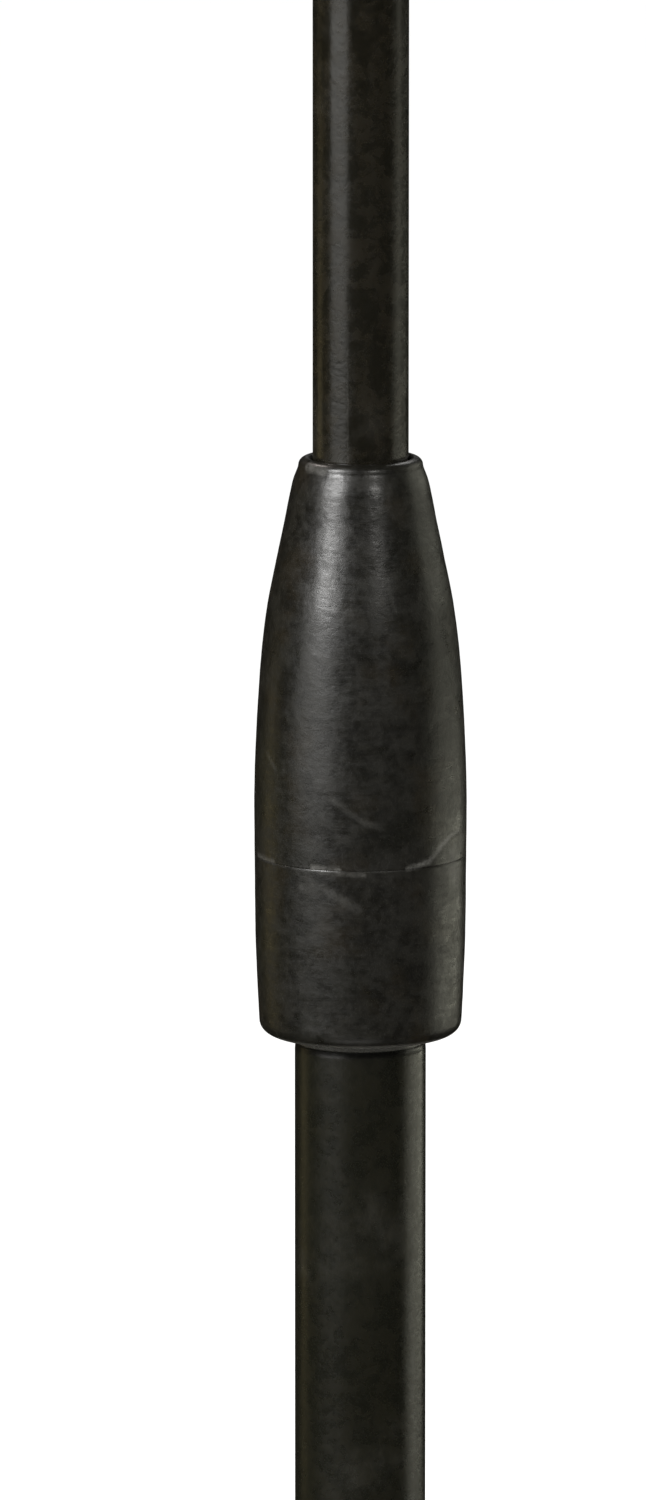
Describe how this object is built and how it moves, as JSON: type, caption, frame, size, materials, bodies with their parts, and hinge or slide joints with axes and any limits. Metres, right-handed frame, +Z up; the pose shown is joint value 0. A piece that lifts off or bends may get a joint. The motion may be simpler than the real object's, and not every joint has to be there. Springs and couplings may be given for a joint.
{
  "type": "music stand",
  "caption": "Folding music stand: tilting sheet-steel desk with a music ledge on a telescoping mast held by a tapered twist clutch, on folding tripod legs.",
  "frame": {"origin": "on the floor on the axis of the tubes, at the middle of the bounding box's underside", "axes": "+Z up along the mast; -Y towards the player, whom the desk faces; +X to the player's right, with leg 1 pointing along +X"},
  "size_m": [0.508, 0.4304, 1.1967],
  "materials": {
    "tube_black": "satin black powder coat on steel tube",
    "clutch_black": "satin black glass-filled nylon, faintly mottled",
    "nylon": "natural nylon",
    "cast_black": "black powder coat on a casting",
    "steel": "bright zinc-plated steel",
    "leg_black": "satin black powder coat on steel tube and strip",
    "rubber": "matt black rubber",
    "knob_black": "moulded black plastic",
    "desk_black": "fine-textured black powder coat on sheet steel"
  },
  "bodies": {
    "base": {"lower_tube": "tube_black", "base_hub": "cast_black", "tube_insert": "steel", "hub_screw": "steel", "hub_pins": "steel", "clutch_housing": "clutch_black", "clutch_collet": "nylon", "housing_set_screw": "steel"},
    "guide": {"guide_bush": "nylon"},
    "mast": {"upper_tube": "tube_black", "tilt_head": "cast_black", "head_rivet": "steel", "friction_washers": "nylon"},
    "desk": {"desk_panel": "desk_black", "music_ledge": "desk_black", "desk_bracket": "desk_black", "bracket_rivets": "steel", "tilt_bolt": "steel"},
    "tilt_spacer": {"pressure_washer": "steel"},
    "tilt_hand": {"tilt_knob": "knob_black"},
    "clutch_ring": {"thrust_washer": "nylon"},
    "grip": {"clutch_grip": "clutch_black"},
    "brace_1": {"strut_1": "leg_black"},
    "brace_2": {"strut_2": "leg_black"},
    "brace_3": {"strut_3": "leg_black"},
    "leg_1": {"leg_tube_1": "leg_black", "leg_foot_1": "rubber", "leg_rivet_1": "steel"},
    "leg_2": {"leg_tube_2": "leg_black", "leg_foot_2": "rubber", "leg_rivet_2": "steel"},
    "leg_3": {"leg_tube_3": "leg_black", "leg_foot_3": "rubber", "leg_rivet_3": "steel"},
    "collar": {"leg_collar": "cast_black", "collar_liner": "nylon", "collar_pins": "steel"},
    "lock_pad": {"lock_shoe": "nylon"},
    "lock_hand": {"lock_screw": "steel", "lock_knob": "knob_black"}
  },
  "joints": [
    {"name": "height_slide", "type": "slide", "parent": "base", "child": "guide", "axis": [0, 0, 1], "range_m": [-0.278, 0.192]},
    {"name": "mast_swivel", "type": "hinge", "parent": "guide", "child": "mast", "pos_m": [0, 0, 0.382], "axis": [0, 0, 1], "continuous": true},
    {"name": "desk_tilt", "type": "hinge", "parent": "mast", "child": "desk", "pos_m": [0, 0, 0.985], "axis": [1, 0, 0], "range_deg": [-68, 22]},
    {"name": "tilt_spacer_slide", "type": "slide", "parent": "desk", "child": "tilt_spacer", "axis": [1, 0, 0], "range_m": [0, 0.0025]},
    {"name": "tilt_knob_turn", "type": "hinge", "parent": "tilt_spacer", "child": "tilt_hand", "pos_m": [0.012, 0, 0.985], "axis": [1, 0, 0], "range_deg": [0, 720]},
    {"name": "clutch_lift", "type": "slide", "parent": "base", "child": "clutch_ring", "axis": [0, 0, 1], "range_m": [0, 0.0025]},
    {"name": "clutch_turn", "type": "hinge", "parent": "clutch_ring", "child": "grip", "pos_m": [0, 0, 0.6], "axis": [0, 0, 1], "range_deg": [0, 300]},
    {"name": "leg_fold", "type": "hinge", "parent": "base", "child": "brace_1", "pos_m": [0.027, 0, 0.022], "axis": [0, -1, 0], "range_deg": [0, 48]},
    {"name": "leg_1_pivot", "type": "hinge", "parent": "brace_1", "child": "leg_1", "pos_m": [0.12202, 0, 0.08853], "axis": [0, -1, 0], "range_deg": [-96, 0]},
    {"name": "collar_pivot", "type": "hinge", "parent": "leg_1", "child": "collar", "pos_m": [0.027, 0, 0.15507], "axis": [0, -1, 0], "range_deg": [0, 48]},
    {"name": "leg_2_pivot", "type": "hinge", "parent": "collar", "child": "leg_2", "pos_m": [-0.0135, 0.02338, 0.15507], "axis": [0.866, 0.5, 0], "range_deg": [-48, 0]},
    {"name": "leg_3_pivot", "type": "hinge", "parent": "collar", "child": "leg_3", "pos_m": [-0.0135, -0.02338, 0.15507], "axis": [-0.866, 0.5, 0], "range_deg": [-48, 0]},
    {"name": "brace_2_pivot", "type": "hinge", "parent": "leg_2", "child": "brace_2", "pos_m": [-0.06101, 0.10567, 0.08853], "axis": [0.866, 0.5, 0], "range_deg": [0, 96]},
    {"name": "brace_3_pivot", "type": "hinge", "parent": "leg_3", "child": "brace_3", "pos_m": [-0.06101, -0.10567, 0.08853], "axis": [-0.866, 0.5, 0], "range_deg": [0, 96]},
    {"name": "lock_pad_slide", "type": "slide", "parent": "collar", "child": "lock_pad", "axis": [-1, 0, 0], "range_m": [0, 0.0025]},
    {"name": "lock_knob_turn", "type": "hinge", "parent": "lock_pad", "child": "lock_hand", "pos_m": [-0.02, 0, 0.15507], "axis": [-1, 0, 0], "range_deg": [0, 720]}
  ],
  "couplings": [
    {"joint": "tilt_spacer_slide", "follows": "tilt_knob_turn", "m_per_rad": 0.00019894},
    {"joint": "clutch_lift", "follows": "clutch_turn", "m_per_rad": 0.00047746},
    {"joint": "lock_pad_slide", "follows": "lock_knob_turn", "m_per_rad": 0.00019894},
    {"joint": "leg_1_pivot", "follows": "leg_fold", "ratio": -2},
    {"joint": "collar_pivot", "follows": "leg_fold", "ratio": 1},
    {"joint": "leg_2_pivot", "follows": "leg_fold", "ratio": -1},
    {"joint": "leg_3_pivot", "follows": "leg_fold", "ratio": -1},
    {"joint": "brace_2_pivot", "follows": "leg_fold", "ratio": 2},
    {"joint": "brace_3_pivot", "follows": "leg_fold", "ratio": 2}
  ]
}
